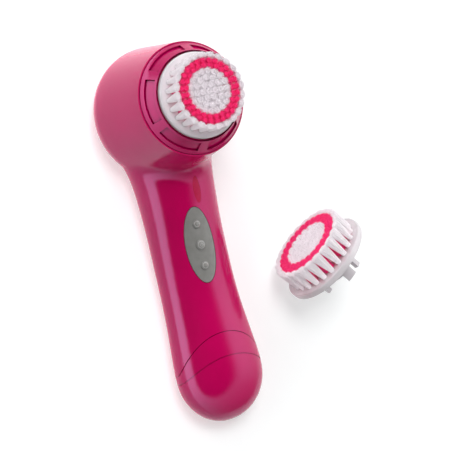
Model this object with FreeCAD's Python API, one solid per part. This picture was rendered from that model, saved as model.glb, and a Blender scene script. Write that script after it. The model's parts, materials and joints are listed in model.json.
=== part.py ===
import FreeCAD, Part
import math
import os

# Facial cleansing brush lying on its back, with a second brush head beside it.
# Millimetres. The brush spins about Z through the origin, the grip runs along -Y,
# and the table is at z = 0.

# Head casing
head_height = 50.0
head_flat_radius = 17.6
head_round_radius = 13.6
head_rim_radius = 26.0
rim_lip = 0.7
neck_fillet = 9.0
wall = 2.0

# Grip: distance from the brush axis, half width, height of the front line
grip_stations = [
    (0.0, 28.5, 27.8),
    (13.0, 26.0, 28.0),
    (30.0, 20.2, 27.6),
    (40.0, 19.3, 26.6),
    (52.0, 18.8, 25.1),
    (70.0, 18.8, 23.3),
    (88.0, 19.1, 22.5),
    (106.0, 20.4, 23.4),
    (118.0, 21.5, 24.1),
    (125.0, 21.7, 24.3),
]
grip_end_length = 23.0
grip_end_angles = (14, 28, 42, 56, 68, 78, 85)
grip_end_tip_height = 9.0
widest_share = 0.42
section_power = 2.2
section_points = 32

# Base cap
seam_radius = 23.0
seam_apex = 106.0
seam_gap = 0.3
spigot_end = 127.0
spigot_fit = 0.05
seal_thickness = 1.0
crease_radius = 33.0
crease_apex = 117.0
crease_width = 0.5
crease_depth = 0.25

# Control pad and buttons
pad_centre = 64.6
pad_half_length = 17.7
pad_half_width = 7.3
pad_thickness = 1.4
pad_gap = 0.3
pad_seat_gap = 0.05
button_pitch = 9.75
button_radii = {"button_up": 2.0, "button_power": 2.4, "button_down": 2.0}
button_travel = 0.4
button_rise = 0.9
button_edge = 0.7
button_flange = 0.8
button_flange_thickness = 0.6
button_clearance = 0.1

# Indicator lens
lens_centre = (3.7, 39.3)
lens_half_length = 6.2
lens_half_width = 1.9
lens_gap = 0.05
lens_stem_radius = 1.2
led_size = (2.4, 3.0, 1.2)
led_gap = 0.3

# Collar
collar_gap = 0.15
collar_seat_depth = 4.0
collar_rise = 1.0
collar_crown = 7.0
collar_inner_radius = 20.0
collar_floor = 1.5
collar_edge = 0.5
gasket_thickness = 0.6
ledge_depth = 2.5
recess_count = 6
recess_start = 30.5
recess_span = 49.0
recess_depth = 0.9
recess_length = 5.0

# Brush heads: a face brush in use, and a larger body brush whose longer coupling
# carries its disc clear above the collar
face_brush = {"disc_radius": 19.4, "disc_thickness": 3.4, "tuft_length": 10.5, "coupling_length": 7.1}
body_brush = {"disc_radius": 23.3, "disc_thickness": 3.4, "tuft_length": 12.2, "coupling_length": 10.4}
disc_lift = 9.0
disc_rounding = 0.8
skirt_wall = 2.0
skirt_depth = 0.8
boss_radius = 6.0
boss_setback = 1.5
boss_bore_radius = 3.1
boss_bore_depth = 6.0
prong_count = 3
prong_span = 55.0
prong_slit_start = 27.0
prong_slit_span = 15.0
prong_outer_radius = 12.0
prong_inner_radius = 9.6
tuft_hole_depth = 2.0
tuft_gap = 0.05
tuft_sets = {
    "outer": {"rings": [(24, 15.9)], "root_radius": 0.95, "tip_radius": 1.4},
    "pink": {"rings": [(24, 11.4), (28, 13.4)], "root_radius": 0.7, "tip_radius": 0.95},
    "inner": {"rings": [(1, 0.0), (6, 3.1), (12, 6.1), (18, 9.0)], "root_radius": 0.7, "tip_radius": 1.0},
}

# Drive
hub_radius = 13.2
hub_lift = 1.6
hub_fit = 0.2
post_radius = 3.0
spindle_radius = 2.0
spindle_top_gap = 1.6
running_gap = 0.04
press_gap = 0.02
bearing_radius = 4.5
bearing_length = 4.0
shaft_seal_thickness = 1.4
housing_radius = 22.2
housing_wall = 1.6
housing_drop = 5.0
housing_floor = 2.0
housing_height = 13.0
cover_thickness = 2.0
screw_circle = 18.4
screw_radius = 1.2
screw_head_radius = 2.2
screw_head_height = 1.4
screw_length = 6.0
boss_pillar_radius = 2.6
cover_screw_angles = (20.0, 180.0, 300.0)
housing_screw_angles = (150.0, 240.0, 340.0)
gear_module = 0.5
gear_backlash = 0.12
gear_addendum = 0.8
gear_dedendum = 1.1
sleeve_gap = 0.1
pressure_angle = 20.0
pinion_teeth = 14
idler_teeth = 28
drive_teeth = 36
gear_level_gap = 0.8
low_gear_thickness = 3.0
high_gear_thickness = 4.0
motor_radius = 10.0
motor_length = 19.0
motor_distance = 10.0
motor_boss_radius = 3.0
motor_boss_height = 1.2
motor_shaft_radius = 1.0
motor_shaft_depth = 6.0
idler_pin_radius = 1.0

# Power and electronics
board_height = 15.5
board_thickness = 1.0
board_start = 34.5
board_end = 83.0
board_half_width = 9.0
switch_size = (4.0, 4.0)
switch_body_height = 1.6
switch_gap = 0.1
deck_thickness = 1.5
deck_post_radius = 2.6
deck_posts = (48.5, 79.5)
cell_radius = 7.0
cell_length = 43.0
cell_centre_height = 11.0
cell_start = 86.5
cell_nub_radius = 2.8
cell_nub_length = 1.0
tray_wall = 1.2
tray_gap = 0.2
contact_thickness = 0.4
bobbin_core_radius = 3.0
bobbin_flange_radius = 6.5
bobbin_flange_thickness = 0.8
bobbin_width = 5.0
coil_radius = 6.0

# Body brush on the table: where the middle of its disc's back is, which way its
# tips point, how far they point up, and its turn about its own axis
spare_place = (64.9, -87.3)
spare_heading = 131.0
spare_tilt = 3.0
spare_turn = 180.0

up = FreeCAD.Vector(0, 0, 1)
back_way = FreeCAD.Vector(0, -1, 0)
reach = 400.0


def vec(x, y, z):
    return FreeCAD.Vector(x, y, z)


def polar(radius, degrees, z=0.0):
    angle = math.radians(degrees)
    return vec(radius * math.cos(angle), radius * math.sin(angle), z)


def cylinder(radius, bottom, top, x=0.0, y=0.0):
    return Part.makeCylinder(radius, top - bottom, vec(x, y, bottom), up)


def ring(outer, inner, bottom, top):
    return cylinder(outer, bottom, top).cut(cylinder(inner, bottom - 1, top + 1))


def block(x0, x1, y0, y1, z0, z1):
    return Part.makeBox(x1 - x0, y1 - y0, z1 - z0, vec(x0, y0, z0))


def revolve(points):
    wire = Part.makePolygon([vec(r, 0, z) for r, z in points + points[:1]])
    return Part.Face(wire).revolve(vec(0, 0, 0), up, 360)


def arc_prism(outer, inner, start, span, bottom, top):
    # a stretch of a ring, from the angle start over span degrees
    sector = Part.makeCylinder(outer, top - bottom, vec(0, 0, bottom), up, span)
    sector.rotate(vec(0, 0, 0), up, start)
    return sector.cut(cylinder(inner, bottom - 1, top + 1))


def group(solids):
    return Part.makeCompound(solids)


def joined(first, others):
    return first.multiFuse(others).removeSplitter()


# Casing shapes

def oval_wire(distance, half_width, back, front):
    # flattened oval across the grip, widest at widest_share of its height
    middle = back + widest_share * (front - back)
    points = []
    for step in range(section_points):
        angle = 2 * math.pi * step / section_points
        cos, sin = math.cos(angle), math.sin(angle)
        x = half_width * math.copysign(abs(cos) ** (2 / section_power), cos)
        height = (front - middle) if sin > 0 else (middle - back)
        z = middle + height * math.copysign(abs(sin) ** (2 / section_power), sin)
        points.append(vec(x, -distance, z))
    curve = Part.BSplineCurve()
    curve.interpolate(points, PeriodicFlag=True)
    return Part.Wire([curve.toShape()])


def grip_solid(inset):
    wires = []
    for distance, half_width, front in grip_stations:
        wires.append(oval_wire(distance, half_width - inset, inset, front - inset))
    shoulder, half_width, front = grip_stations[-1]
    for degrees in grip_end_angles:
        size = math.cos(math.radians(degrees))
        distance = shoulder + (grip_end_length - inset) * math.sin(math.radians(degrees))
        middle = front / 2 + (grip_end_tip_height - front / 2) * (1 - size)
        back = middle - (middle - inset) * size
        top = middle + (front / 2 - inset) * size
        wires.append(oval_wire(distance, (half_width - inset) * size, back, top))
    return Part.makeLoft(wires, True, False)


def head_solid(inset, top):
    # round back edge, then a straight taper tangent to it up to the rim
    radius = head_round_radius - inset
    centre = vec(head_flat_radius, 0, head_round_radius)
    rim = vec(head_rim_radius - inset, 0, head_height)
    line = rim - centre
    turn = math.atan2(line.z, line.x) - math.acos(radius / line.Length)
    tangent = centre + vec(math.cos(turn), 0, math.sin(turn)) * radius
    half = (turn - math.pi / 2) / 2
    middle = centre + vec(math.cos(half), 0, math.sin(half)) * radius
    bottom = vec(head_flat_radius, 0, inset)
    above = rim + (rim - tangent) * ((top - head_height) / (rim.z - tangent.z))
    edges = [
        Part.LineSegment(vec(0, 0, inset), bottom).toShape(),
        Part.Arc(bottom, middle, tangent).toShape(),
        Part.LineSegment(tangent, above).toShape(),
        Part.LineSegment(above, vec(0, 0, top)).toShape(),
        Part.LineSegment(vec(0, 0, top), vec(0, 0, inset)).toShape(),
    ]
    return Part.Face(Part.Wire(edges)).revolve(vec(0, 0, 0), up, 360)


def front_height(distance):
    # height of the front line of the grip, read between its stations
    for near, far in zip(grip_stations, grip_stations[1:]):
        if distance <= far[0]:
            share = (distance - near[0]) / (far[0] - near[0])
            return near[2] + share * (far[2] - near[2])
    return grip_stations[-1][2]


def cap_zone(offset):
    # everything on the cap's side of the curved seam
    centre = seam_apex + seam_radius
    round_part = cylinder(seam_radius + offset, -reach, reach, 0, -centre)
    return round_part.fuse(block(-reach, reach, -reach, -centre, -reach, reach))


def oval_prism(x, distance, half_width, half_length, bottom, top):
    long_end = vec(x, -distance - half_length, bottom)
    side_end = vec(x + half_width, -distance, bottom)
    ellipse = Part.Ellipse(long_end, side_end, vec(x, -distance, bottom))
    return Part.Face(Part.Wire([ellipse.toShape()])).extrude(vec(0, 0, top - bottom))


def shell_band(outer_inset, inner_inset):
    return grip_solid(outer_inset).cut(grip_solid(inner_inset))


def neck_edges(casing):
    # the edge where the front of the neck meets the head
    found = []
    for edge in casing.Edges:
        box = edge.BoundBox
        if box.YMax < -1 and box.ZMin > head_round_radius and box.ZMax < head_height - 5:
            found.append(edge)
    return found


def make_casing():
    casing = head_solid(0, head_height).fuse(grip_solid(0))
    return casing.makeFillet(neck_fillet, neck_edges(casing))


# Levels shared by the drive and its casing

collar_seat_height = head_height - collar_seat_depth
housing_top = collar_seat_height - housing_drop
housing_bottom = housing_top - housing_height
housing_inner_radius = housing_radius - housing_wall
floor_top = housing_bottom + housing_floor
cover_top = housing_top + cover_thickness
low_gear_bottom = floor_top + gear_level_gap
low_gear_top = low_gear_bottom + low_gear_thickness
high_gear_bottom = low_gear_top + gear_level_gap
high_gear_top = high_gear_bottom + high_gear_thickness
bearing_top = housing_bottom + bearing_length
front_bearing_top = housing_top + bearing_length
shaft_seal_top = front_bearing_top + shaft_seal_thickness
collar_bottom = collar_seat_height + gasket_thickness
disc_top = head_height + disc_lift
disc_bottom = disc_top - face_brush["disc_thickness"]
coupling_bottom = disc_bottom - face_brush["coupling_length"]
boss_bottom = coupling_bottom + boss_setback
hub_top = disc_bottom - tuft_gap
hub_bottom = shaft_seal_top + hub_lift
bore_end = boss_bottom + boss_bore_depth
post_top = bore_end - hub_fit
idler_distance = gear_module * (pinion_teeth + drive_teeth) / 2
motor_gap = gear_module * (pinion_teeth + idler_teeth) / 2
motor_y = (motor_distance ** 2 - motor_gap ** 2 + idler_distance ** 2) / (2 * idler_distance)
motor_x = math.sqrt(motor_distance ** 2 - motor_y ** 2)


# Casing pieces

def handle_shell(casing):
    inner = head_solid(wall, head_height + 1).fuse(grip_solid(wall))
    shell = casing.cut(inner)
    seat = cylinder(head_rim_radius - rim_lip, collar_seat_height, head_height + 1)
    ledge_inner = housing_radius + 2 * hub_fit
    ledge = ring(head_rim_radius - wall / 2, ledge_inner, collar_seat_height - ledge_depth, collar_seat_height)
    shell = shell.cut(seat).cut(cap_zone(0))
    spigot = shell_band(wall / 2 + spigot_fit, wall)
    spigot = spigot.common(cap_zone(wall / 4)).common(block(-reach, reach, -spigot_end, 0, -reach, reach))
    pillars = []
    for angle in housing_screw_angles:
        spot = polar(screw_circle, angle)
        pillars.append(cylinder(boss_pillar_radius, wall / 2, housing_bottom, spot.x, spot.y))
    for distance in deck_posts:
        pillars.append(cylinder(deck_post_radius, wall / 2, board_height - deck_thickness, 0, -distance))
    shell = shell.multiFuse([ledge, spigot] + pillars)
    cuts = [pad_pocket(), lens_prism(lens_gap)]
    for name, distance in button_places():
        cuts.append(cylinder(button_radii[name] + button_clearance, board_height, reach, 0, -distance))
    for spot in housing_screw_spots() + deck_screw_spots():
        cuts.append(screw_shank(spot, press_gap))
    return shell.cut(cuts)


def base_cap(casing):
    cap = casing.common(cap_zone(-seam_gap)).cut(grip_solid(wall))
    shoulder = spigot_end + seal_thickness + spigot_fit
    rabbet = grip_solid(wall / 2).common(block(-reach, reach, -shoulder, 0, -reach, reach))
    centre = crease_apex + crease_radius
    crease = ring(crease_radius, crease_radius - crease_width, -reach, reach)
    crease.translate(vec(0, -centre, 0))
    crease = crease.common(block(-reach, reach, -centre, 0, -reach, reach))
    crease = crease.common(shell_band(-crease_width, crease_depth))
    return cap.cut(rabbet).cut(crease)


def cap_seal():
    band = shell_band(wall / 2 + spigot_fit, wall)
    start = spigot_end + press_gap
    return band.common(block(-reach, reach, -start - seal_thickness, -start, -reach, reach))


# Control pad, buttons and lens

def button_places():
    return [
        ("button_up", pad_centre - button_pitch),
        ("button_power", pad_centre),
        ("button_down", pad_centre + button_pitch),
    ]


def pad_pocket():
    width = pad_half_width + pad_gap
    length = pad_half_length + pad_gap
    prism = oval_prism(0, pad_centre, width, length, board_height, reach)
    return prism.cut(grip_solid(pad_thickness + pad_seat_gap))


def control_pad():
    prism = oval_prism(0, pad_centre, pad_half_width, pad_half_length, board_height, reach)
    pad = grip_solid(-pad_seat_gap).common(prism).cut(grip_solid(pad_thickness))
    for name, distance in button_places():
        pad = pad.cut(cylinder(button_radii[name] + button_clearance, board_height, reach, 0, -distance))
    return pad


def button(name, distance):
    radius = button_radii[name]
    top = front_height(distance) + button_rise
    flange_top = front_height(distance) - wall - button_edge
    flange_bottom = flange_top - button_flange_thickness
    stem_bottom = board_height + board_thickness + switch_body_height + button_travel + switch_gap
    dome_radius = (radius ** 2 + button_edge ** 2) / (2 * button_edge)
    body = cylinder(radius, flange_bottom, top)
    body = body.common(Part.makeSphere(dome_radius, vec(0, 0, top - dome_radius)).fuse(
        cylinder(radius, flange_bottom, top - button_edge)))
    flange = cylinder(radius + button_flange, flange_bottom, flange_top)
    stem = cylinder(radius / 2, stem_bottom, flange_top)
    piece = joined(body, [flange, stem])
    piece.translate(vec(0, -distance, 0))
    return piece


def lens_prism(gap):
    x, distance = lens_centre
    return oval_prism(x, distance, lens_half_width + gap, lens_half_length + gap, board_height + wall, reach)


def indicator_lens(casing):
    x, distance = lens_centre
    window = casing.common(lens_prism(0)).cut(grip_solid(wall))
    bottom = board_height + board_thickness + led_size[2] + led_gap
    stem = cylinder(lens_stem_radius, bottom, front_height(distance) - wall / 2, x, -distance)
    return joined(window, [stem])


# Collar

def head_collar():
    outer = head_rim_radius - rim_lip - collar_gap
    shoulder = head_height + collar_rise
    crown = head_height + collar_crown
    edge = collar_edge
    profile = [
        (hub_radius + edge, collar_bottom),
        (outer, collar_bottom),
        (outer, shoulder - edge),
        (outer - edge, shoulder),
        (collar_inner_radius + edge, crown),
        (collar_inner_radius, crown - edge),
        (collar_inner_radius, collar_bottom + collar_floor),
        (hub_radius + edge, collar_bottom + collar_floor),
    ]
    collar = revolve(profile)
    low = vec(outer - edge, 0, shoulder)
    high = vec(collar_inner_radius + edge, 0, crown)
    along = (high - low).normalize()
    outward = vec(along.z, 0, -along.x)
    margin = ((high - low).Length - recess_length) / 2
    inner_low = low + along * margin - outward * recess_depth
    inner_high = high - along * margin - outward * recess_depth
    outer_low = low + along * margin + outward
    outer_high = high - along * margin + outward
    wire = Part.makePolygon([inner_low, inner_high, outer_high, outer_low, inner_low])
    recesses = []
    for index in range(recess_count):
        recess = Part.Face(wire).revolve(vec(0, 0, 0), up, recess_span)
        recess.rotate(vec(0, 0, 0), up, recess_start + index * 360 / recess_count)
        recesses.append(recess)
    return collar.cut(recesses)


def collar_gasket():
    inner = housing_radius + 2 * hub_fit
    return ring(head_rim_radius - rim_lip - collar_gap, inner, collar_seat_height, collar_bottom)


# Brush head

def ring_spots(rings, scale):
    spots = []
    for count, radius in rings:
        for index in range(count):
            spots.append(polar(scale * radius, 360 * index / count))
    return spots


def brush_scale(brush):
    # the tufts spread with the disc that holds them
    return brush["disc_radius"] / face_brush["disc_radius"]


def tufts(brush, tuft_set):
    # one cone for each tuft, its root in a hole of the disc
    scale = brush_scale(brush)
    root_radius = scale * tuft_set["root_radius"]
    tip_radius = scale * tuft_set["tip_radius"]
    tip_height = disc_top + brush["tuft_length"]
    bottom = disc_top - tuft_hole_depth + tuft_gap
    profile = [
        (0, bottom),
        (root_radius, bottom),
        (root_radius, disc_top),
        (tip_radius, tip_height - tip_radius / 2),
        (tip_radius / 2, tip_height),
        (0, tip_height),
    ]
    tuft = revolve(profile)
    copies = []
    for spot in ring_spots(tuft_set["rings"], scale):
        copy = tuft.copy()
        copy.translate(spot)
        copies.append(copy)
    return group(copies)


def prong(bottom, back, start):
    # a wide and a narrow leg with a slit between them
    whole = arc_prism(prong_outer_radius, prong_inner_radius, start, prong_span, bottom, back + disc_rounding)
    slit = arc_prism(prong_outer_radius + 1, prong_inner_radius - 1, start + prong_slit_start, prong_slit_span,
                     bottom - 1, back - skirt_depth)
    return whole.cut(slit)


def brush_disc(brush):
    # a moulded disc with the coupling under it
    radius = brush["disc_radius"]
    back = disc_top - brush["disc_thickness"]
    ends = back - brush["coupling_length"]
    disc = cylinder(radius, back, disc_top)
    disc = disc.makeFillet(disc_rounding, [edge for edge in disc.Edges if edge.Curve.TypeId == "Part::GeomCircle"])
    hollow = ring(radius - skirt_wall, prong_outer_radius + skirt_wall, back - 1, back + skirt_depth)
    disc = disc.cut(hollow)
    parts = [cylinder(boss_radius, ends + boss_setback, back + disc_rounding)]
    for index in range(prong_count):
        start = 360 * index / prong_count - prong_span / 2
        parts.append(prong(ends, back, start))
    disc = joined(disc, parts)
    holes = [cylinder(boss_bore_radius, ends, ends + boss_setback + boss_bore_depth)]
    for tuft_set in tuft_sets.values():
        hole_radius = brush_scale(brush) * tuft_set["root_radius"] + tuft_gap
        for spot in ring_spots(tuft_set["rings"], brush_scale(brush)):
            holes.append(cylinder(hole_radius, disc_top - tuft_hole_depth, reach, spot.x, spot.y))
    return disc.cut(holes)


def on_table(piece):
    # stands a piece of the body brush on its disc's back edge, with its tips along spare_heading
    radius, tilt = body_brush["disc_radius"], math.radians(spare_tilt)
    lift = (radius - disc_rounding) * math.cos(tilt) + disc_rounding * (1 - math.sin(tilt))
    piece.translate(vec(0, 0, body_brush["disc_thickness"] - disc_top))
    piece.rotate(vec(0, 0, 0), up, spare_turn)
    piece.rotate(vec(0, 0, 0), vec(0, 1, 0), 90 - spare_tilt)
    piece.rotate(vec(0, 0, 0), up, spare_heading)
    piece.translate(vec(spare_place[0], spare_place[1], lift))
    return piece


# Drive

def gear(teeth, bottom, top, phase):
    # flanks follow the involute at the root, pitch and tip circles
    pitch = gear_module * teeth / 2
    base = pitch * math.cos(math.radians(pressure_angle))
    root = pitch - gear_module * gear_dedendum
    tip = pitch + gear_module * gear_addendum
    thickness = (math.pi * gear_module / 2 - gear_backlash) / pitch
    at_pitch = involute(pitch, base)
    points = []
    for index in range(teeth):
        middle = 2 * math.pi * index / teeth + math.radians(phase)
        sides = []
        for radius in (root, pitch, tip):
            half = thickness / 2 + at_pitch - involute(max(radius, base), base)
            sides.append((radius, half))
        for radius, half in sides:
            points.append(polar(radius, math.degrees(middle - half), bottom))
        for radius, half in reversed(sides):
            points.append(polar(radius, math.degrees(middle + half), bottom))
    face = Part.Face(Part.makePolygon(points + points[:1]))
    return face.extrude(vec(0, 0, top - bottom))


def involute(radius, base):
    angle = math.acos(base / radius)
    return math.tan(angle) - angle


def gear_phase(teeth, heading):
    # turns a gear so that a gap faces its mate in that direction
    return heading + 180 / teeth


def drive_gear():
    wheel = gear(drive_teeth, high_gear_bottom, high_gear_top, 90)
    sleeve_radius = spindle_radius + housing_wall
    sleeve = cylinder(sleeve_radius, bearing_top + sleeve_gap, housing_top - sleeve_gap)
    return wheel.fuse(sleeve).cut(cylinder(spindle_radius + press_gap, 0, reach)).removeSplitter()


def idler_gear():
    heading = math.degrees(math.atan2(motor_y - idler_distance, motor_x))
    large = gear(idler_teeth, low_gear_bottom, low_gear_top, gear_phase(idler_teeth, heading))
    small = gear(pinion_teeth, low_gear_top, high_gear_top, gear_phase(pinion_teeth, -90))
    sleeve = cylinder(2 * idler_pin_radius, high_gear_top, housing_top - gear_backlash)
    wheel = joined(large, [small, sleeve]).cut(cylinder(idler_pin_radius + running_gap, 0, reach))
    wheel.translate(vec(0, idler_distance, 0))
    return wheel


def motor_pinion():
    heading = math.degrees(math.atan2(idler_distance - motor_y, -motor_x))
    pinion = gear(pinion_teeth, low_gear_bottom, low_gear_top, heading)
    pinion = pinion.cut(cylinder(motor_shaft_radius + press_gap, 0, reach))
    pinion.translate(vec(motor_x, motor_y, 0))
    return pinion


def motor_shaft():
    return cylinder(motor_shaft_radius, housing_bottom - motor_shaft_depth, low_gear_top, motor_x, motor_y)


def motor():
    can = cylinder(motor_radius, housing_bottom - motor_length, housing_bottom)
    boss = cylinder(motor_boss_radius, housing_bottom, housing_bottom + motor_boss_height)
    tail = cylinder(motor_boss_radius, housing_bottom - motor_length - motor_boss_height,
                    housing_bottom - motor_length)
    can = joined(can, [boss, tail])
    shaft_hole = cylinder(motor_shaft_radius + running_gap, housing_bottom - motor_shaft_depth - 1, reach)
    can = can.cut(shaft_hole)
    can.translate(vec(motor_x, motor_y, 0))
    return can


def idler_pin():
    return cylinder(idler_pin_radius, housing_bottom + housing_floor / 2, housing_top + cover_thickness / 2,
                    0, idler_distance)


def gearbox_housing():
    cup = cylinder(housing_radius, housing_bottom, housing_top)
    cup = cup.cut(cylinder(housing_inner_radius, floor_top, reach))
    pillars = []
    for angle in cover_screw_angles:
        spot = polar(screw_circle, angle)
        pillar = cylinder(boss_pillar_radius, housing_bottom, housing_top, spot.x, spot.y)
        pillars.append(pillar.common(cylinder(housing_radius, 0, reach)))
    pillars.append(cylinder(2 * idler_pin_radius, floor_top, low_gear_bottom - gear_backlash,
                            0, idler_distance))
    cup = joined(cup, pillars)
    cuts = [
        cylinder(bearing_radius + press_gap, 0, reach),
        cylinder(motor_boss_radius + press_gap, 0, floor_top + 1, motor_x, motor_y),
        cylinder(idler_pin_radius + press_gap, housing_bottom + housing_floor / 2, reach, 0, idler_distance),
    ]
    for spot in housing_screw_spots():
        cuts.append(screw_shank(spot, running_gap))
    for spot in cover_screw_spots():
        cuts.append(screw_shank(spot, press_gap))
    return cup.cut(cuts)


def gearbox_cover():
    cover = cylinder(housing_radius, housing_top, cover_top)
    boss = cylinder(bearing_radius + housing_wall, cover_top, shaft_seal_top)
    cover = joined(cover, [boss])
    cuts = [
        cylinder(bearing_radius + press_gap, 0, reach),
        cylinder(idler_pin_radius + press_gap, 0, housing_top + cover_thickness / 2, 0, idler_distance),
    ]
    for spot in cover_screw_spots():
        cuts.append(screw_shank(spot, running_gap))
    return cover.cut(cuts)


def bearing(bottom, top, gap):
    return ring(bearing_radius, spindle_radius + gap, bottom, top)


def spindle():
    return cylinder(spindle_radius, housing_bottom + press_gap, post_top - spindle_top_gap)


def drive_hub():
    hub = cylinder(hub_radius, hub_bottom, hub_top)
    hub = hub.cut(cylinder(boss_radius + hub_fit, boss_bottom - hub_fit, reach))
    hub = joined(hub, [cylinder(post_radius, hub_bottom, post_top)])
    cuts = [cylinder(spindle_radius + press_gap, 0, post_top - spindle_top_gap + press_gap)]
    slack = math.degrees(hub_fit / prong_inner_radius)
    for index in range(prong_count):
        start = 360 * index / prong_count - prong_span / 2 - slack
        cuts.append(arc_prism(prong_outer_radius + hub_fit, prong_inner_radius - hub_fit, start,
                              prong_span + 2 * slack, hub_bottom - 1, hub_top + 1))
    return hub.cut(cuts)


# Screws: each spot holds x, y and the height that the head bears on

def housing_screw_spots():
    return [polar(screw_circle, angle, floor_top) for angle in housing_screw_angles]


def cover_screw_spots():
    return [polar(screw_circle, angle, cover_top) for angle in cover_screw_angles]


def deck_screw_spots():
    return [vec(0, -distance, board_height) for distance in deck_posts]


def screw_shank(spot, gap):
    return cylinder(screw_radius + gap, spot.z - screw_length, spot.z + screw_head_height, spot.x, spot.y)


def screws(spots):
    pieces = []
    for spot in spots:
        head = cylinder(screw_head_radius, spot.z, spot.z + screw_head_height, spot.x, spot.y)
        shank = screw_shank(spot, 0)
        slot = block(-screw_head_radius, screw_head_radius, -screw_radius / 4, screw_radius / 4,
                     spot.z + screw_head_height / 2, reach)
        slot.translate(vec(spot.x, spot.y, 0))
        pieces.append(joined(head, [shank]).cut(slot))
    return group(pieces)


# Power and electronics

def circuit_board():
    board = block(-board_half_width, board_half_width, -board_end, -board_start,
                  board_height, board_height + board_thickness)
    holes = []
    for distance in deck_posts:
        holes.append(cylinder(screw_head_radius + hub_fit, 0, reach, 0, -distance))
    return board.cut(holes)


def tactile_switches():
    width, length = switch_size
    base = board_height + board_thickness
    switches = []
    for name, distance in button_places():
        switches.append(block(-width / 2, width / 2, -distance - length / 2, -distance + length / 2,
                              base, base + switch_body_height))
    return group(switches)


def indicator_led():
    width, length, height = led_size
    x, distance = lens_centre
    base = board_height + board_thickness
    return block(x - width / 2, x + width / 2, -distance - length / 2, -distance + length / 2,
                 base, base + height)


def rod(radius, near, far):
    # a cylinder along the grip on the cell's axis
    return Part.makeCylinder(radius, far - near, vec(0, -near, cell_centre_height), back_way)


cell_end = cell_start + cell_length
nub_end = cell_end + cell_nub_length
tray_end = nub_end + contact_thickness + 2 * press_gap
bulkhead = cell_start - contact_thickness - 2 * press_gap


def battery_cell():
    return joined(rod(cell_radius, cell_start, cell_end), [rod(cell_nub_radius, cell_end, nub_end)])


def cell_contacts():
    near = rod(cell_radius / 2, bulkhead + press_gap, bulkhead + press_gap + contact_thickness)
    far = rod(cell_radius / 2, nub_end + press_gap, nub_end + press_gap + contact_thickness)
    return group([near, far])


def chassis():
    inner = cell_radius + tray_gap
    outer = inner + tray_wall
    start = bulkhead - deck_thickness
    deck = block(-board_half_width, board_half_width, -bulkhead, -board_start,
                 board_height - deck_thickness, board_height)
    trough = rod(outer, start, tray_end + tray_wall).cut(rod(inner, bulkhead, tray_end))
    trough = trough.common(block(-outer, outer, -reach, 0, -reach, cell_centre_height))
    end_plate = block(-outer, outer, -bulkhead, -start, cell_centre_height - 1, board_height)
    body = joined(trough, [deck, end_plate])
    cuts = []
    for spot in deck_screw_spots():
        cuts.append(screw_shank(spot, running_gap))
    return body.cut(cuts)


def coil_bobbin():
    start = tray_end + tray_wall
    flange = bobbin_flange_thickness
    core = rod(bobbin_core_radius, start, start + bobbin_width)
    near = rod(bobbin_flange_radius, start, start + flange)
    far = rod(bobbin_flange_radius, start + bobbin_width - flange, start + bobbin_width)
    return joined(core, [near, far])


def charging_coil():
    start = tray_end + tray_wall + bobbin_flange_thickness + press_gap
    end = tray_end + tray_wall + bobbin_width - bobbin_flange_thickness - press_gap
    return rod(coil_radius, start, end).cut(rod(bobbin_core_radius + press_gap, start - 1, end + 1))


def build():
    casing = make_casing()
    pieces = {
        "handle_shell": handle_shell(casing),
        "base_cap": base_cap(casing),
        "cap_seal": cap_seal(),
        "head_collar": head_collar(),
        "collar_gasket": collar_gasket(),
        "control_pad": control_pad(),
        "indicator_lens": indicator_lens(casing),
        "brush_disc": brush_disc(face_brush),
        "spare_disc": on_table(brush_disc(body_brush)),
        "drive_hub": drive_hub(),
        "spindle": spindle(),
        "drive_gear": drive_gear(),
        "idler_gear": idler_gear(),
        "idler_pin": idler_pin(),
        "motor_pinion": motor_pinion(),
        "motor_shaft": motor_shaft(),
        "motor": motor(),
        "gearbox_housing": gearbox_housing(),
        "gearbox_cover": gearbox_cover(),
        "rear_bearing": bearing(housing_bottom + press_gap, bearing_top, running_gap),
        "front_bearing": bearing(housing_top, front_bearing_top, running_gap),
        "shaft_seal": bearing(front_bearing_top + press_gap, shaft_seal_top, running_gap),
        "housing_screws": screws(housing_screw_spots()),
        "cover_screws": screws(cover_screw_spots()),
        "deck_screws": screws(deck_screw_spots()),
        "chassis": chassis(),
        "circuit_board": circuit_board(),
        "tactile_switches": tactile_switches(),
        "indicator_led": indicator_led(),
        "battery_cell": battery_cell(),
        "cell_contacts": cell_contacts(),
        "coil_bobbin": coil_bobbin(),
        "charging_coil": charging_coil(),
    }
    for name, distance in button_places():
        pieces[name] = button(name, distance)
    for name, tuft_set in tuft_sets.items():
        pieces[name + "_tufts"] = tufts(face_brush, tuft_set)
        pieces["spare_" + name + "_tufts"] = on_table(tufts(body_brush, tuft_set))
    return pieces


os.makedirs("parts", exist_ok=True)
for node, shape in build().items():
    shape.exportStep("parts/" + node + ".step")
    print(node, len(shape.Solids), "solids", round(shape.Volume, 1), "mm3", shape.isValid())
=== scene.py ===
import json
import math
import bmesh
import bpy
from mathutils import Matrix, Quaternion, Vector
from mathutils.bvhtree import BVHTree


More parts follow.
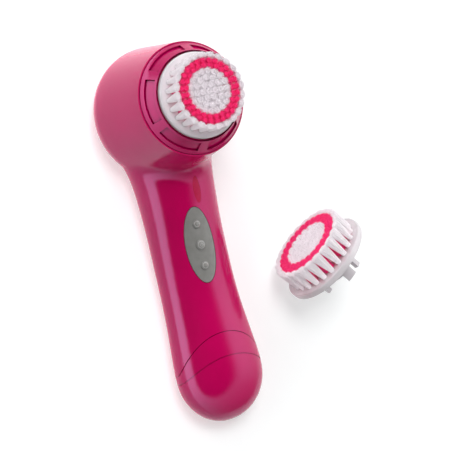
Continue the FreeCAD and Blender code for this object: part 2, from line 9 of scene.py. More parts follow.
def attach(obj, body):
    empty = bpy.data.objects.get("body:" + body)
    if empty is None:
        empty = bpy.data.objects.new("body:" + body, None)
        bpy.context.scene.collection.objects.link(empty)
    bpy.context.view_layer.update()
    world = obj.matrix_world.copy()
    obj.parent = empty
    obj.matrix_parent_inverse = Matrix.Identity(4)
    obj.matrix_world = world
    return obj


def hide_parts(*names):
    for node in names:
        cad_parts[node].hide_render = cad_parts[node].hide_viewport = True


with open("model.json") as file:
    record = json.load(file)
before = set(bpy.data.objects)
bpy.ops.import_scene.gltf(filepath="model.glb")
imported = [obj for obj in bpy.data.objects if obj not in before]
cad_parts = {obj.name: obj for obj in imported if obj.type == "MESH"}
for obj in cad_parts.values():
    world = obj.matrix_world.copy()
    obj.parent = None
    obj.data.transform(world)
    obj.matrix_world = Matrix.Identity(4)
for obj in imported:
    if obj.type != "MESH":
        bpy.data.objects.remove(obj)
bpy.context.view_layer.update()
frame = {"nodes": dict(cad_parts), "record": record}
mm = 0.001
print("frame loaded:", len(frame["nodes"]), "nodes")


# camera

cameraSettings = {
    "place": (-0.2915, -0.0532, 0.6010),
    "aim": (0.0173, -0.0591, 0.0200),
    "roll": 77.0,
    "lens": 111.5,
    "sensor": 36.0,
}


def makeCamera(settings):
    data = bpy.data.cameras.new("camera")
    data.lens = settings["lens"]
    data.sensor_width = settings["sensor"]
    camera = bpy.data.objects.new("camera", data)
    place, aim = Vector(settings["place"]), Vector(settings["aim"])
    camera.location = place
    camera.rotation_mode = "QUATERNION"
    look = (aim - place).to_track_quat("-Z", "Y")
    camera.rotation_quaternion = look @ Quaternion((0, 0, 1), math.radians(settings["roll"]))
    bpy.context.scene.collection.objects.link(camera)
    bpy.context.scene.camera = camera


makeCamera(cameraSettings)


# node helpers

def addNode(tree, kind, **settings):
    node = tree.nodes.new(kind)
    for name, value in settings.items():
        setattr(node, name, value)
    return node


def join(tree, source, target):
    tree.links.new(source, target)


def newMaterial(name):
    material = bpy.data.materials.new(name)
    material.use_nodes = True
    shader = material.node_tree.nodes["Principled BSDF"]
    return material, material.node_tree, shader


surfaceLook = {
    "toneDetail": 3,
    "toneEdges": (0.35, 0.65),
    "grainDetail": 4,
    "grainStrength": 0.35,
    "creaseRays": 8,
    "creaseFade": 0.4,    # share of the openness at which the painted shade in a crease is darkest
    "coatRough": 0.04,
}


def mottle(tree, vector, size, low, high):
    # a colour that drifts softly between two close tones
    noise = addNode(tree, "ShaderNodeTexNoise")
    noise.inputs["Scale"].default_value = 1 / size
    noise.inputs["Detail"].default_value = surfaceLook["toneDetail"]
    ramp = addNode(tree, "ShaderNodeValToRGB")
    for stop, edge, tone in zip(ramp.color_ramp.elements, surfaceLook["toneEdges"], (low, high)):
        stop.position = edge
        stop.color = (*tone, 1)
    join(tree, vector, noise.inputs["Vector"])
    join(tree, noise.outputs["Fac"], ramp.inputs["Fac"])
    return ramp.outputs["Color"]


def grainBump(tree, vector, size, depth):
    noise = addNode(tree, "ShaderNodeTexNoise")
    noise.inputs["Scale"].default_value = 1 / size
    noise.inputs["Detail"].default_value = surfaceLook["grainDetail"]
    bump = addNode(tree, "ShaderNodeBump")
    bump.inputs["Strength"].default_value = surfaceLook["grainStrength"]
    bump.inputs["Distance"].default_value = depth
    join(tree, vector, noise.inputs["Vector"])
    join(tree, noise.outputs["Fac"], bump.inputs["Height"])
    return bump.outputs["Normal"]


def roughnessDrift(tree, vector, size, low, high):
    noise = addNode(tree, "ShaderNodeTexNoise")
    noise.inputs["Scale"].default_value = 1 / size
    spread = addNode(tree, "ShaderNodeMapRange")
    spread.inputs["To Min"].default_value = low
    spread.inputs["To Max"].default_value = high
    join(tree, vector, noise.inputs["Vector"])
    join(tree, noise.outputs["Fac"], spread.inputs["Value"])
    return spread.outputs["Result"]


def paintCreaseShade(tree, colour, reach, least, clear):
    # painted shade: ambient occlusion finds narrow gaps and inner corners and darkens the colour
    # there, standing in for the shade that falls in them
    hollow = addNode(tree, "ShaderNodeAmbientOcclusion", samples=surfaceLook["creaseRays"])
    hollow.inputs["Distance"].default_value = reach
    shade = addNode(tree, "ShaderNodeMapRange")
    shade.inputs["From Min"].default_value = clear * surfaceLook["creaseFade"]
    shade.inputs["From Max"].default_value = clear
    shade.inputs["To Min"].default_value = least
    shadedColour = addNode(tree, "ShaderNodeVectorMath", operation="SCALE")
    join(tree, hollow.outputs["AO"], shade.inputs["Value"])
    join(tree, colour, shadedColour.inputs[0])
    join(tree, shade.outputs["Result"], shadedColour.inputs["Scale"])
    return shadedColour.outputs[0]


# low and high are the two tones and size is the breadth of their drift;
# grain is (size, depth), and the painted shade in gaps and corners is (reach, darkest share,
# openness at which it ends)
finishes = {
    "magenta": {"low": (0.44, 0.0, 0.075), "high": (0.49, 0.0, 0.085), "size": 30 * mm,
                "rough": (0.15, 0.20), "ior": 1.56, "tint": (0.65, 0.58, 1.0),
                "crease": (1.0 * mm, 0.2, 0.85)},
    "collarPink": {"low": (0.44, 0.0, 0.082), "high": (0.49, 0.0, 0.092), "size": 12 * mm,
                   "rough": (0.10, 0.15), "ior": 1.5, "tint": (0.8, 0.38, 0.7),
                   "crease": (2.6 * mm, 0.10, 0.85)},
    "padGrey": {"low": (0.175, 0.175, 0.165), "high": (0.20, 0.20, 0.19), "size": 3 * mm,
                "rough": (0.36, 0.44), "grain": (0.25 * mm, 0.02 * mm)},
    "buttonGrey": {"low": (0.19, 0.19, 0.18), "high": (0.21, 0.21, 0.20), "size": 2 * mm,
                   "rough": (0.34, 0.42), "grain": (0.25 * mm, 0.02 * mm)},
    "iconGrey": {"low": (0.34, 0.34, 0.33), "high": (0.38, 0.38, 0.37), "size": 1 * mm,
                 "rough": (0.4, 0.5)},
    "whitePlastic": {"low": (0.62, 0.58, 0.61), "high": (0.68, 0.64, 0.67), "size": 8 * mm,
                     "rough": (0.18, 0.26), "coat": 0.2, "crease": (1.2 * mm, 0.4, 0.8)},
    "whiteBristle": {"low": (0.90, 0.85, 0.89), "high": (0.95, 0.92, 0.94), "size": 0.7 * mm,
                     "rough": (0.42, 0.55)},
    "pinkBristle": {"low": (0.90, 0.02, 0.19), "high": (0.96, 0.06, 0.30), "size": 0.7 * mm,
                    "rough": (0.38, 0.5)},
    "lensRed": {"low": (0.36, 0.0, 0.03), "high": (0.42, 0.0, 0.04), "size": 4 * mm,
                "rough": (0.2, 0.28), "tint": (1.0, 0.3, 0.6)},
    "innerPlastic": {"low": (0.58, 0.58, 0.55), "high": (0.66, 0.66, 0.63), "size": 5 * mm,
                     "rough": (0.4, 0.5), "grain": (0.4 * mm, 0.02 * mm)},
    "gearPlastic": {"low": (0.80, 0.78, 0.68), "high": (0.86, 0.84, 0.74), "size": 4 * mm,
                    "rough": (0.3, 0.4)},
    "steel": {"low": (0.50, 0.50, 0.52), "high": (0.60, 0.60, 0.62), "size": 1.5 * mm,
              "rough": (0.22, 0.34), "metal": 1.0},
    "bronze": {"low": (0.52, 0.30, 0.12), "high": (0.60, 0.36, 0.15), "size": 1 * mm,
               "rough": (0.3, 0.45), "metal": 1.0},
    "copper": {"low": (0.70, 0.28, 0.12), "high": (0.80, 0.34, 0.16), "size": 0.6 * mm,
               "rough": (0.25, 0.35), "metal": 1.0},
    "sealRubber": {"low": (0.012, 0.012, 0.012), "high": (0.02, 0.02, 0.02), "size": 1 * mm,
                   "rough": (0.6, 0.75), "grain": (0.2 * mm, 0.03 * mm)},
    "boardGreen": {"low": (0.01, 0.10, 0.035), "high": (0.015, 0.13, 0.045), "size": 2 * mm,
                   "rough": (0.3, 0.4)},
    "switchBlack": {"low": (0.015, 0.015, 0.015), "high": (0.03, 0.03, 0.03), "size": 1 * mm,
                    "rough": (0.35, 0.5)},
    "ledClear": {"low": (0.80, 0.80, 0.70), "high": (0.86, 0.86, 0.76), "size": 1 * mm,
                 "rough": (0.1, 0.2)},
    "cellWrap": {"low": (0.02, 0.09, 0.25), "high": (0.03, 0.11, 0.30), "size": 6 * mm,
                 "rough": (0.2, 0.3)},
}


def makeFinish(name, look):
    material, tree, shader = newMaterial(name)
    vector = addNode(tree, "ShaderNodeTexCoord").outputs["Object"]
    colour = mottle(tree, vector, look["size"], look["low"], look["high"])
    # painted shade: the colour is darkened in gaps, recesses and inner corners
    if "crease" in look:
        colour = paintCreaseShade(tree, colour, *look["crease"])
    join(tree, colour, shader.inputs["Base Color"])
    rough = roughnessDrift(tree, vector, look["size"] * 2, *look["rough"])
    join(tree, rough, shader.inputs["Roughness"])
    if "grain" in look:
        join(tree, grainBump(tree, vector, *look["grain"]), shader.inputs["Normal"])
    shader.inputs["Metallic"].default_value = look.get("metal", 0.0)
    shader.inputs["Coat Weight"].default_value = look.get("coat", 0.0)
    shader.inputs["Coat Roughness"].default_value = surfaceLook["coatRough"]
    shader.inputs["IOR"].default_value = look.get("ior", 1.5)
    shader.inputs["Specular Tint"].default_value = (*look.get("tint", (1, 1, 1)), 1)
    return material


finish = {name: makeFinish(name, look) for name, look in finishes.items()}
print("finishes made:", len(finish))


# carried-over pieces: a merged copy takes the place of each hard outer node, so that it can
# shade smoothly up to the angle beside its name

nodeFinish = {
    "handle_shell": "magenta", "base_cap": "magenta", "head_collar": "collarPink",
    "control_pad": "padGrey", "button_up": "buttonGrey", "button_power": "buttonGrey",
    "button_down": "buttonGrey", "indicator_lens": "lensRed", "brush_disc": "whitePlastic",
    "spare_disc": "whitePlastic", "outer_tufts": "whiteBristle", "pink_tufts": "pinkBristle",
    "inner_tufts": "whiteBristle", "spare_outer_tufts": "whiteBristle",
    "spare_pink_tufts": "pinkBristle", "spare_inner_tufts": "whiteBristle",
    "drive_hub": "innerPlastic", "spindle": "steel", "drive_gear": "gearPlastic",
    "idler_gear": "gearPlastic", "idler_pin": "steel", "motor_pinion": "gearPlastic",
    "motor_shaft": "steel", "motor": "steel", "gearbox_housing": "innerPlastic",
    "gearbox_cover": "innerPlastic", "rear_bearing": "bronze", "front_bearing": "bronze",
    "shaft_seal": "sealRubber", "collar_gasket": "sealRubber", "cap_seal": "sealRubber",
    "housing_screws": "steel", "cover_screws": "steel", "deck_screws": "steel",
    "chassis": "innerPlastic", "circuit_board": "boardGreen", "tactile_switches": "switchBlack",
    "indicator_led": "ledClear", "battery_cell": "cellWrap", "cell_contacts": "steel",
    "coil_bobbin": "innerPlastic", "charging_coil": "copper",
}

smoothPieces = {
    "handle_shell": ("casingSkin", 32), "base_cap": ("capSkin", 32),
    "head_collar": ("collarSkin", 30),
    "control_pad": ("padSkin", 40), "button_up": ("upButtonSkin", 40),
    "button_power": ("powerButtonSkin", 40), "button_down": ("downButtonSkin", 40),
    "indicator_lens": ("lensSkin", 35), "brush_disc": ("discSkin", 35),
    "spare_disc": ("spareDiscSkin", 35),
}
mergeGaps = {"weld": 0.002 * mm, "sliver": 0.001 * mm}

bodyOf = {}
for body, members in frame["record"]["behaviour"]["bodies"].items():
    for member in members:
        bodyOf[member] = body


def paint(item, material):
    item.data.materials.clear()
    item.data.materials.append(material)


def newPiece(name, mesh, body, material):
    piece = bpy.data.objects.new(name, mesh)
    bpy.context.scene.collection.objects.link(piece)
    paint(piece, material)
    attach(piece, body)
    return piece


def smoothCopy(node, name, angle):
    mesh = frame["nodes"][node].data.copy()
    mesh.name = name
    build = bmesh.new()
    build.from_mesh(mesh)
    bmesh.ops.remove_doubles(build, verts=build.verts, dist=mergeGaps["weld"])
    bmesh.ops.dissolve_degenerate(build, dist=mergeGaps["sliver"], edges=build.edges)
    build.to_mesh(mesh)
    build.free()
    if "custom_normal" in mesh.attributes:
        mesh.attributes.remove(mesh.attributes["custom_normal"])
    mesh.shade_smooth()
    mesh.set_sharp_from_angle(angle=math.radians(angle))
    piece = newPiece(name, mesh, bodyOf[node], finish[nodeFinish[node]])
    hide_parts(node)


for node, look in nodeFinish.items():
    paint(frame["nodes"][node], finish[look])
for node, (name, angle) in smoothPieces.items():
    smoothCopy(node, name, angle)
print("smooth pieces made:", len(smoothPieces))


# bristles

brushes = {
    "": {"disc": "brush_disc", "seed": 11},
    "spare": {"disc": "spare_disc", "seed": 31},
}

# millimetres on the face brush; rings are (tufts, radius), across is the reach of the tips
# along the ring and through it, dome is how far the edge of a tuft lies below its middle
tuftLooks = {
    "outer": {"rings": [(24, 15.9)], "filaments": 110, "root": 0.9, "across": (2.2, 1.35),
              "thick": 0.12, "dome": 0.45, "finish": "whiteBristle"},
    "pink": {"rings": [(24, 11.4), (28, 13.4)], "filaments": 48, "root": 0.7,
             "across": (1.55, 1.25), "thick": 0.13, "dome": 0.4, "finish": "pinkBristle"},
    "inner": {"rings": [(1, 0.0), (6, 3.1), (12, 6.1), (18, 9.0)], "filaments": 48, "root": 0.7,
              "across": (1.72, 1.65), "thick": 0.13, "dome": 0.75, "finish": "whiteBristle"},
}
strandLook = {
    "sides": 5,
    "tipShare": 0.8,      # tip radius over root radius
    "uneven": 1.0,        # scatter in the height of the tips, in filament radii
    "short": 2.0,         # how far they stop below the full height, in filament radii
    "slant": 0.6,         # shift of a tip along the ring, as a share of what it falls short
    "stray": 1.6,         # scatter of the tips through the ring, in filament radii
    "straySeed": 100,
    "domePower": 3,
    "spiral": math.pi * (3 - math.sqrt(5)),
    "turn": 1.3,          # radians from one tuft's spiral to the next
    "seatedDepth": 0.5,   # mm into the disc
}
# shares of the root radius and of the reach through the ring, and domes left above the core
coreLook = {"sides": 12, "rootShare": 0.85, "tipShare": 0.8, "below": 2.5}


def tuftTree():
    tree = bpy.data.node_groups.new("tuftRing", "GeometryNodeTree")
    face = tree.interface
    sizes = [
        ("Tufts", "NodeSocketInt"), ("Ring radius", "NodeSocketFloat"),
        ("Filaments", "NodeSocketInt"), ("Root radius", "NodeSocketFloat"),
        ("Tip along", "NodeSocketFloat"), ("Tip through", "NodeSocketFloat"),
        ("Filament radius", "NodeSocketFloat"), ("Root height", "NodeSocketFloat"),
        ("Tip height", "NodeSocketFloat"), ("Dome", "NodeSocketFloat"),
        ("Seed", "NodeSocketInt"), ("Finish", "NodeSocketMaterial"),
    ]
    face.new_socket("Geometry", in_out="OUTPUT", socket_type="NodeSocketGeometry")
    for name, kind in sizes:
        face.new_socket(name, in_out="INPUT", socket_type=kind)
    given = addNode(tree, "NodeGroupInput").outputs
    result = addNode(tree, "NodeGroupOutput")

    def feed(socket, value):
        if isinstance(value, (int, float)):
            socket.default_value = value
        else:
            join(tree, value, socket)

    def calc(operation, *values):
        node = addNode(tree, "ShaderNodeMath", operation=operation)
        for place, value in enumerate(values):
            feed(node.inputs[place], value)
        return node.outputs[0]

    def spot(x, y, z):
        node = addNode(tree, "ShaderNodeCombineXYZ")
        for place, value in enumerate((x, y, z)):
            feed(node.inputs[place], value)
        return node.outputs[0]

    def onRing(vector, turn):
        node = addNode(tree, "ShaderNodeVectorRotate", rotation_type="Z_AXIS")
        join(tree, vector, node.inputs["Vector"])
        join(tree, turn, node.inputs["Angle"])
        return node.outputs[0]

    def pointsAt(count, vector):
        points = addNode(tree, "GeometryNodePoints")
        join(tree, count, points.inputs["Count"])
        placed = addNode(tree, "GeometryNodeSetPosition")
        join(tree, points.outputs[0], placed.inputs["Geometry"])
        join(tree, vector, placed.inputs["Position"])
        return placed.outputs[0]

    def turned(points, shape, way, stretch):
        aim = addNode(tree, "FunctionNodeAlignRotationToVector", axis="Z")
        join(tree, way, aim.inputs["Vector"])
        copies = addNode(tree, "GeometryNodeInstanceOnPoints")
        join(tree, points, copies.inputs["Points"])
        join(tree, shape, copies.inputs["Instance"])
        join(tree, aim.outputs[0], copies.inputs["Rotation"])
        join(tree, spot(1, 1, stretch), copies.inputs["Scale"])
        return copies.outputs[0]

    def cone(sides, bottom, top):
        node = addNode(tree, "GeometryNodeMeshCone", fill_type="NGON")
        node.inputs["Vertices"].default_value = sides
        node.inputs["Depth"].default_value = 1
        join(tree, bottom, node.inputs["Radius Bottom"])
        join(tree, top, node.inputs["Radius Top"])
        return node.outputs["Mesh"]

    step = calc("DIVIDE", 2 * math.pi, given["Tufts"])
    index = addNode(tree, "GeometryNodeInputIndex").outputs[0]

    # filaments, spread over each tuft like seeds in a flower head
    tuft = calc("FLOOR", calc("DIVIDE", calc("ADD", index, 0.5), given["Filaments"]))
    strand = calc("SUBTRACT", index, calc("MULTIPLY", tuft, given["Filaments"]))
    share = calc("SQRT", calc("DIVIDE", calc("ADD", strand, 0.5), given["Filaments"]))
    swirl = calc("ADD", calc("MULTIPLY", strand, strandLook["spiral"]),
                 calc("MULTIPLY", tuft, strandLook["turn"]))
    through = calc("MULTIPLY", share, calc("COSINE", swirl))
    along = calc("MULTIPLY", share, calc("SINE", swirl))
    jitter = addNode(tree, "FunctionNodeRandomValue", data_type="FLOAT")
    jitter.inputs["Min"].default_value = -strandLook["uneven"]
    jitter.inputs["Max"].default_value = strandLook["uneven"]
    join(tree, given["Seed"], jitter.inputs["Seed"])
    uneven = calc("MULTIPLY", calc("SUBTRACT", jitter.outputs[1], strandLook["short"]),
                  given["Filament radius"])
    stray = addNode(tree, "FunctionNodeRandomValue", data_type="FLOAT")
    stray.inputs["Min"].default_value = -strandLook["stray"]
    stray.inputs["Max"].default_value = strandLook["stray"]
    join(tree, calc("ADD", given["Seed"], strandLook["straySeed"]), stray.inputs["Seed"])
    astray = calc("MULTIPLY", stray.outputs[1], given["Filament radius"])
    drop = calc("MULTIPLY", calc("POWER", share, strandLook["domePower"]), given["Dome"])
    turn = calc("MULTIPLY", tuft, step)
    root = onRing(spot(
        calc("MULTIPLY_ADD", through, given["Root radius"], given["Ring radius"]),
        calc("MULTIPLY", along, given["Root radius"]),
        given["Root height"]), turn)
    tip = onRing(spot(
        calc("ADD", calc("MULTIPLY_ADD", through, given["Tip through"], given["Ring radius"]),
             astray),
        calc("ADD", calc("MULTIPLY", along, given["Tip along"]),
             calc("MULTIPLY", uneven, strandLook["slant"])),
        calc("ADD", calc("SUBTRACT", given["Tip height"], drop), uneven)), turn)
    way = addNode(tree, "ShaderNodeVectorMath", operation="SUBTRACT")
    join(tree, tip, way.inputs[0])
    join(tree, root, way.inputs[1])
    length = addNode(tree, "ShaderNodeVectorMath", operation="LENGTH")
    join(tree, way.outputs[0], length.inputs[0])
    narrowed = calc("MULTIPLY", given["Filament radius"], strandLook["tipShare"])
    filament = cone(strandLook["sides"], given["Filament radius"], narrowed)
    total = calc("MULTIPLY", given["Tufts"], given["Filaments"])
    filaments = turned(pointsAt(total, root), filament, way.outputs[0], length.outputs["Value"])

    # a core in each tuft keeps light from passing through the bundle
    middle = onRing(spot(given["Ring radius"], 0, given["Root height"]),
                    calc("MULTIPLY", index, step))
    height = calc("SUBTRACT", calc("SUBTRACT", given["Tip height"], given["Root height"]),
                  calc("MULTIPLY", given["Dome"], coreLook["below"]))
    core = cone(coreLook["sides"], calc("MULTIPLY", given["Root radius"], coreLook["rootShare"]),
                calc("MULTIPLY", given["Tip through"], coreLook["tipShare"]))
    cores = turned(pointsAt(given["Tufts"], middle), core, spot(0, 0, 1), height)

    both = addNode(tree, "GeometryNodeJoinGeometry")
    join(tree, cores, both.inputs[0])
    join(tree, filaments, both.inputs[0])
    real = addNode(tree, "GeometryNodeRealizeInstances")
    join(tree, both.outputs[0], real.inputs[0])
    dressed = addNode(tree, "GeometryNodeSetMaterial")
    join(tree, real.outputs[0], dressed.inputs["Geometry"])
    join(tree, given["Finish"], dressed.inputs["Material"])
    join(tree, dressed.outputs[0], result.inputs[0])
    return tree


def grownMesh(tree, values):
    # runs a tree on an empty carrier and keeps the result as a plain mesh
    carrier = bpy.data.objects.new("carrier", bpy.data.meshes.new("carrier"))
    bpy.context.scene.collection.objects.link(carrier)
    modifier = carrier.modifiers.new("grow", "NODES")
    modifier.node_group = tree
    for item in tree.interface.items_tree:
        if item.in_out == "INPUT" and item.name in values:
            modifier[item.identifier] = values[item.name]
    bpy.context.view_layer.update()
    evaluated = carrier.evaluated_get(bpy.context.evaluated_depsgraph_get())
    mesh = bpy.data.meshes.new_from_object(evaluated)
    carrier.modifiers.remove(modifier)
    bpy.data.objects.remove(carrier)
    return mesh


def joinMeshes(name, meshes, matrix):
    build = bmesh.new()
    for mesh in meshes:
        build.from_mesh(mesh)
    build.transform(matrix)
    whole = bpy.data.meshes.new(name)
    build.to_mesh(whole)
    build.free()
    whole.shade_flat()
    return whole


def spareMatrix():
    # the second brush head's own frame: Z along its bore towards the tips, X upwards
    for mount in frame["record"]["mounts"]:
        if mount["name"] == "spare_head_bore":
            middle, way = Vector(mount["pos_m"]), -Vector(mount["axis"])
    rise = (Vector((0, 0, 1)) - way * way.z).normalized()
    side = way.cross(rise)
    turn = Matrix((rise, side, way)).transposed().to_4x4()
    return Matrix.Translation(middle) @ turn


def reachOf(node, matrix):
    # how far a node reaches along the brush's axis and out from it
    inverse = matrix.inverted()
    points = [inverse @ vertex.co for vertex in frame["nodes"][node].data.vertices]
    return max(point.z for point in points), max(point.xy.length for point in points)


def bristleMesh(tree, name, look, brush, tips):
    meshes = []
    for place, (count, radius) in enumerate(look["rings"]):
        meshes.append(grownMesh(tree, {
            "Tufts": count,
            "Ring radius": radius * brush["scale"],
            "Filaments": look["filaments"],
            "Root radius": look["root"] * brush["scale"],
            "Tip along": look["across"][0] * brush["scale"],
            "Tip through": look["across"][1] * brush["scale"],
            "Filament radius": look["thick"] * brush["scale"],
            "Root height": brush["discTop"] - strandLook["seatedDepth"] * mm,
            "Tip height": tips,
            "Dome": look["dome"] * brush["scale"],
            "Seed": brush["seed"] + place,
            "Finish": finish[look["finish"]],
        }))
    return joinMeshes(name, meshes, brush["matrix"])


def growBrush(prefix, brush):
    for group, look in tuftLooks.items():
        node = (prefix + "_" if prefix else "") + group + "_tufts"
        name = prefix + group.capitalize() + "Bristles" if prefix else group + "Bristles"
        tips = reachOf(node, brush["matrix"])[0]
        mesh = bristleMesh(ringTree, name, look, brush, tips)
        piece = newPiece(name, mesh, bodyOf[node], finish[look["finish"]])
        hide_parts(node)


ringTree = tuftTree()
brushes[""]["matrix"] = Matrix.Identity(4)
brushes["spare"]["matrix"] = spareMatrix()
faceRadius = reachOf("brush_disc", brushes[""]["matrix"])[1]
for prefix, brush in brushes.items():
    brush["discTop"], radius = reachOf(brush["disc"], brush["matrix"])
    brush["scale"] = radius / faceRadius * mm
    growBrush(prefix, brush)
print("bristles grown")


# button marks

def onCircle(angles):
    return [(math.sin(math.radians(a)), math.cos(math.radians(a))) for a in angles]


arcPoints = onCircle(range(45, 316, 15))
circlePoints = onCircle(range(0, 360, 15))

# strokes count in radii of the mark, with the head upwards
iconLooks = {
    "button_up": {"name": "upIcon", "strokes": [[(-1, 0), (1, 0)], [(0, -1), (0, 1)]]},
    "button_power": {"name": "powerIcon", "strokes": [arcPoints, [(0, 0.15), (0, 1.25)]]},
    "button_down": {"name": "downIcon", "strokes": [[(-1, 0), (1, 0)]]},
}
# mark and ring are shares of the button's radius; crown is the depth of its top that is measured
iconSizes = {"mark": 0.42, "ring": 0.86, "width": 0.30 * mm, "lift": 0.05 * mm,
             "sink": 0.15 * mm, "crown": 0.5 * mm, "above": 1.0}


def strokeFaces(build, points, closed, surface):
    # a flat ribbon along the points, laid on the surface and closed below it
    count = len(points)
    rows = []
    for place, (x, y) in enumerate(points):
        before = points[(place - 1) % count if closed else max(place - 1, 0)]
        after = points[(place + 1) % count if closed else min(place + 1, count - 1)]
        way = Vector((after[0] - before[0], after[1] - before[1])).normalized()
        way = way * iconSizes["width"] / 2
        row = []
        for sign in (-1, 1):
            cornerX, cornerY = x - way.y * sign, y + way.x * sign
            start = Vector((cornerX, cornerY, iconSizes["above"]))
            hit = surface.ray_cast(start, Vector((0, 0, -1)))[0]
            for shift in (iconSizes["lift"], -iconSizes["sink"]):
                row.append(build.verts.new((cornerX, cornerY, hit.z + shift)))
        rows.append(row)
    pairs = list(zip(rows, rows[1:]))
    if closed:
        pairs.append((rows[-1], rows[0]))
    else:
        for ends in (rows[0], rows[-1]):
            build.faces.new([ends[0], ends[1], ends[3], ends[2]])
    for one, two in pairs:
        for a, b in ((0, 2), (2, 3), (3, 1), (1, 0)):
            build.faces.new([one[a], one[b], two[b], two[a]])


def buttonIcon(node, look):
    source = frame["nodes"][node].data
    surface = BVHTree.FromPolygons([v.co for v in source.vertices],
                                   [p.vertices for p in source.polygons])
    top = max(v.co.z for v in source.vertices)
    crown = [v.co for v in source.vertices if v.co.z > top - iconSizes["crown"]]
    lows = [min(co[axis] for co in crown) for axis in (0, 1)]
    highs = [max(co[axis] for co in crown) for axis in (0, 1)]
    centre = [(low + high) / 2 for low, high in zip(lows, highs)]
    radius = (highs[0] - lows[0]) / 2
    build = bmesh.new()
    strokes = [(points, False, iconSizes["mark"]) for points in look["strokes"]]
    strokes.append((circlePoints, True, iconSizes["ring"]))
    for points, closed, size in strokes:
        placed = [(centre[0] + x * size * radius, centre[1] + y * size * radius) for x, y in points]
        strokeFaces(build, placed, closed, surface)
    bmesh.ops.recalc_face_normals(build, faces=build.faces)
    mesh = bpy.data.meshes.new(look["name"])
    build.to_mesh(mesh)
    build.free()
    newPiece(look["name"], mesh, bodyOf[node], finish["iconGrey"])


for node, look in iconLooks.items():
    buttonIcon(node, look)
print("button marks made:", len(iconLooks))


# floor and light

studio = {
    "floorSize": 6.0,
    "floorDrop": 0.05 * mm,
    "floorColour": (0.84, 0.86, 0.86),
    "floorRough": 0.9,
    "floorShine": 0.1,
    "floorLift": 0.25,        # glow of the floor
    "tentWay": (-0.6, 0.8, 0.0),
    "tentSides": (0.3, 5.8),  # level away from tentWay and towards it
    "tentDiffuse": 0.11,      # share of the tent's level that reaches matt surfaces
    "tentTop": 0.03,          # level of the opening, as a share of the walls'
    "tentEdge": (0.68, 0.81),  # heights between which the walls give way to the opening
    "tentLean": 0.20,         # tilt of the opening along X
    "lamps": {
        "keyLamp": {"at": (-0.25, 0.5, 1.4), "size": (0.6, 0.6), "power": 9.5, "shadow": True},
        "rightLamp": {"at": (1.1, -0.15, 0.75), "size": (0.9, 0.7), "power": 9.0,
                      "shadow": False},
    },
    "aim": (0.0, -0.06, 0.03),
}


def makeFloor(settings):
    half = settings["floorSize"] / 2
    mesh = bpy.data.meshes.new("floor")
    corners = [(-half, -half, 0), (half, -half, 0), (half, half, 0), (-half, half, 0)]
    mesh.from_pydata(corners, [], [(0, 1, 2, 3)])
    floor = bpy.data.objects.new("floor", mesh)
    floor.location.z = -settings["floorDrop"]
    bpy.context.scene.collection.objects.link(floor)
    material, tree, shader = newMaterial("floorPaper")
    shader.inputs["Base Color"].default_value = (*settings["floorColour"], 1)
    shader.inputs["Roughness"].default_value = settings["floorRough"]
    shader.inputs["Specular IOR Level"].default_value = settings["floorShine"]
    shader.inputs["Emission Color"].default_value = (1, 1, 1, 1)
    # the glow is seen straight on, in gloss and through clear pieces, and lights no matt surface
    ray = addNode(tree, "ShaderNodeLightPath")
    lift = addNode(tree, "ShaderNodeMath", operation="MULTIPLY")
    lift.inputs[1].default_value = settings["floorLift"]
    seen = addNode(tree, "ShaderNodeMath", operation="MAXIMUM")
    join(tree, ray.outputs["Is Camera Ray"], seen.inputs[0])
    other = addNode(tree, "ShaderNodeMath", operation="MAXIMUM")
    join(tree, ray.outputs["Is Glossy Ray"], other.inputs[0])
    join(tree, ray.outputs["Is Transmission Ray"], other.inputs[1])
    join(tree, other.outputs[0], seen.inputs[1])
    join(tree, seen.outputs[0], lift.inputs[0])
    join(tree, lift.outputs[0], shader.inputs["Emission Strength"])
    paint(floor, material)


def makeLamps(settings):
    aim = Vector(settings["aim"])
    for name, lamp in settings["lamps"].items():
        data = bpy.data.lights.new(name, "AREA")
        data.shape = "RECTANGLE"
        data.size, data.size_y = lamp["size"]
        data.energy = lamp["power"]
        item = bpy.data.objects.new(name, data)
        item.location = lamp["at"]
        item.rotation_mode = "QUATERNION"
        item.rotation_quaternion = (aim - item.location).to_track_quat("-Z", "Y")
        item.visible_glossy = False
        data.use_shadow = lamp["shadow"]
        bpy.context.scene.collection.objects.link(item)


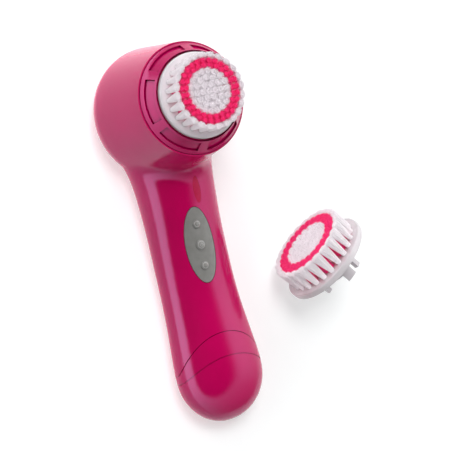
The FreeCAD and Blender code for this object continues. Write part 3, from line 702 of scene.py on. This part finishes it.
def makeTent(settings):
    # walls that brighten towards one side and a dark opening overhead, so that gloss shows a
    # long dark streak
    world = bpy.data.worlds.new("tent")
    world.use_nodes = True
    tree = world.node_tree
    coords = addNode(tree, "ShaderNodeTexCoord")
    split = addNode(tree, "ShaderNodeSeparateXYZ")
    join(tree, coords.outputs["Generated"], split.inputs[0])
    lean = addNode(tree, "ShaderNodeMath", operation="MULTIPLY_ADD")
    lean.inputs[1].default_value = -settings["tentLean"]
    join(tree, split.outputs["X"], lean.inputs[0])
    join(tree, split.outputs["Z"], lean.inputs[2])
    facing = addNode(tree, "ShaderNodeVectorMath", operation="DOT_PRODUCT")
    facing.inputs[1].default_value = settings["tentWay"]
    join(tree, coords.outputs["Generated"], facing.inputs[0])
    sides = addNode(tree, "ShaderNodeMapRange")
    sides.inputs["From Min"].default_value = -1.0
    sideLow, sideHigh = settings["tentSides"]
    sides.inputs["To Min"].default_value = sideLow
    sides.inputs["To Max"].default_value = sideHigh
    join(tree, facing.outputs["Value"], sides.inputs["Value"])
    opening = addNode(tree, "ShaderNodeMapRange", interpolation_type="SMOOTHSTEP")
    edgeLow, edgeHigh = settings["tentEdge"]
    opening.inputs["From Min"].default_value = edgeLow
    opening.inputs["From Max"].default_value = edgeHigh
    opening.inputs["To Min"].default_value = 1.0
    opening.inputs["To Max"].default_value = settings["tentTop"]
    join(tree, lean.outputs[0], opening.inputs["Value"])
    both = addNode(tree, "ShaderNodeMath", operation="MULTIPLY")
    join(tree, opening.outputs["Result"], both.inputs[0])
    join(tree, sides.outputs["Result"], both.inputs[1])
    ray = addNode(tree, "ShaderNodeLightPath")
    share = addNode(tree, "ShaderNodeMapRange")
    share.inputs["To Min"].default_value = 1.0
    share.inputs["To Max"].default_value = settings["tentDiffuse"]
    join(tree, ray.outputs["Is Diffuse Ray"], share.inputs["Value"])
    level = addNode(tree, "ShaderNodeMath", operation="MULTIPLY")
    join(tree, both.outputs[0], level.inputs[0])
    join(tree, share.outputs["Result"], level.inputs[1])
    join(tree, level.outputs[0], tree.nodes["Background"].inputs["Strength"])
    tree.nodes["Background"].inputs["Color"].default_value = (1, 1, 1, 1)
    bpy.context.scene.world = world


makeFloor(studio)
makeLamps(studio)
makeTent(studio)
bpy.context.scene.view_settings.view_transform = "Standard"
print("stage made")
